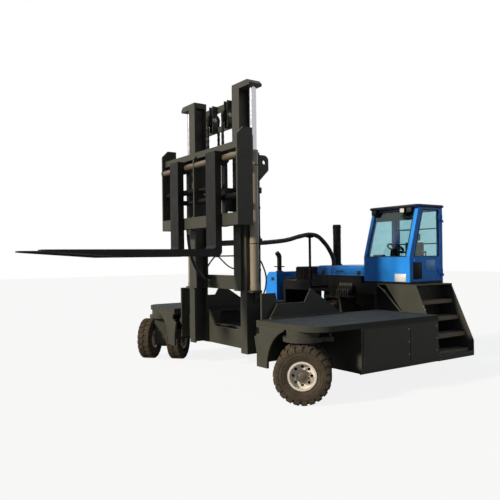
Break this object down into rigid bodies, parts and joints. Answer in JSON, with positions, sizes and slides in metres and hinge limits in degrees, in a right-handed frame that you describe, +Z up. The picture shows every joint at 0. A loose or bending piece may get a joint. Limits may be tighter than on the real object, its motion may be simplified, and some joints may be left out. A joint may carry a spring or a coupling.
{
  "type": "multidirectional forklift",
  "caption": "Side-loading forklift with a U-shaped chassis, sliding reach mast, long forks, steered wheel legs and an offset cab, for carrying long loads in any direction.",
  "frame": {"origin": "middle of the truck's box on the ground", "axes": "+X along the forks, +Y to the cab door's side, +Z up"},
  "size_m": [7.2, 5.746, 5.05],
  "materials": {
    "charcoal_paint": "satin",
    "blue_paint": "gloss",
    "black_paint": "satin",
    "fork_steel": "worn satin",
    "chrome_rod": "polished",
    "rim_paint": "satin",
    "tyre_rubber": "matte",
    "hose_rubber": "matte",
    "seat_cloth": "woven",
    "window_glass": "clear"
  },
  "bodies": {
    "chassis": {"decks": "charcoal_paint", "front_plates": "charcoal_paint", "guide_rails": "charcoal_paint", "side_box_left": "charcoal_paint", "side_box_right": "charcoal_paint", "guard_plates": "charcoal_paint", "rear_bridge": "black_paint", "counterweight": "charcoal_paint", "steps": "charcoal_paint", "cab_floor": "black_paint", "cab_front": "blue_paint", "cab_rear": "blue_paint", "cab_side": "blue_paint", "cab_roof": "blue_paint", "cab_glass": "window_glass", "seat": "seat_cloth", "console": "black_paint", "hood": "blue_paint", "engine_cover": "blue_paint", "engine_block": "black_paint", "radiator": "black_paint", "exhaust_pipe": "black_paint", "intake_stack": "black_paint", "hose_post": "black_paint", "lamps": "black_paint", "mast_hose": "hose_rubber"},
    "door": {"cab_door": "blue_paint", "door_glass": "window_glass"},
    "steer_leg_left": {"front_leg_left": "charcoal_paint"},
    "wheels_left": {"front_tyres_left": "tyre_rubber", "front_rims_left": "rim_paint"},
    "steer_leg_right": {"front_leg_right": "charcoal_paint"},
    "wheels_right": {"front_tyres_right": "tyre_rubber", "front_rims_right": "rim_paint"},
    "steer_yoke_rear": {"rear_yoke": "charcoal_paint"},
    "wheel_rear": {"rear_tyre": "tyre_rubber", "rear_rim": "rim_paint"},
    "mast": {"outer_column_left": "charcoal_paint", "outer_column_right": "charcoal_paint", "mast_feet": "charcoal_paint", "outer_mast_crossbars": "charcoal_paint", "reach_carriage": "charcoal_paint", "lift_barrels": "charcoal_paint", "chains_rear": "fork_steel"},
    "inner_mast": {"inner_mast_columns": "charcoal_paint", "inner_mast_crossbars": "charcoal_paint", "sheave_brackets": "charcoal_paint", "sheaves": "black_paint", "lift_rods": "chrome_rod", "rod_heads": "charcoal_paint", "chains_front": "fork_steel"},
    "fork_carriage": {"carriage_frame": "charcoal_paint", "hanger_shaft": "chrome_rod", "positioners": "black_paint", "carriage_hoses": "hose_rubber"},
    "left_fork": {"fork_left": "fork_steel"},
    "right_fork": {"fork_right": "fork_steel"}
  },
  "joints": [
    {"name": "mast_reach", "type": "slide", "parent": "chassis", "child": "mast", "axis": [1, 0, 0], "range_m": [-1.25, 0], "deforming": ["mast_hose"]},
    {"name": "mast_lift", "type": "slide", "parent": "mast", "child": "inner_mast", "axis": [0, 0, 1], "range_m": [-1.045, 1.1], "deforming": ["chains_rear"]},
    {"name": "carriage_lift", "type": "slide", "parent": "inner_mast", "child": "fork_carriage", "axis": [0, 0, 1], "range_m": [-1.045, 1.1], "deforming": ["chains_front", "carriage_hoses"]},
    {"name": "fork_left_shift", "type": "slide", "parent": "fork_carriage", "child": "left_fork", "axis": [0, 1, 0], "range_m": [-0.45, 0.4]},
    {"name": "fork_right_shift", "type": "slide", "parent": "fork_carriage", "child": "right_fork", "axis": [0, 1, 0], "range_m": [-0.45, 0.3]},
    {"name": "steer_front_left", "type": "hinge", "parent": "chassis", "child": "steer_leg_left", "pos_m": [0.223, 2.271, 0.9], "axis": [0, 0, 1], "range_deg": [-67, 63]},
    {"name": "spin_front_left", "type": "hinge", "parent": "steer_leg_left", "child": "wheels_left", "pos_m": [0.223, 2.271, 0.42], "axis": [0.682, 0.7314, 0], "continuous": true},
    {"name": "steer_front_right", "type": "hinge", "parent": "chassis", "child": "steer_leg_right", "pos_m": [0.223, -2.271, 0.9], "axis": [0, 0, 1], "range_deg": [-63, 67]},
    {"name": "spin_front_right", "type": "hinge", "parent": "steer_leg_right", "child": "wheels_right", "pos_m": [0.223, -2.271, 0.42], "axis": [-0.682, 0.7314, 0], "continuous": true},
    {"name": "steer_rear", "type": "hinge", "parent": "chassis", "child": "steer_yoke_rear", "pos_m": [-2.735, 0, 1.3], "axis": [0, 0, 1], "range_deg": [-100, 100]},
    {"name": "spin_rear", "type": "hinge", "parent": "steer_yoke_rear", "child": "wheel_rear", "pos_m": [-2.735, 0, 0.62], "axis": [0, 1, 0], "continuous": true},
    {"name": "door_hinge", "type": "hinge", "parent": "chassis", "child": "door", "pos_m": [-3.27, 2.141, 2.3], "axis": [0, 0, 1], "range_deg": [0, 95]}
  ],
  "couplings": [
    {"joint": "carriage_lift", "follows": "mast_lift", "ratio": 1}
  ]
}
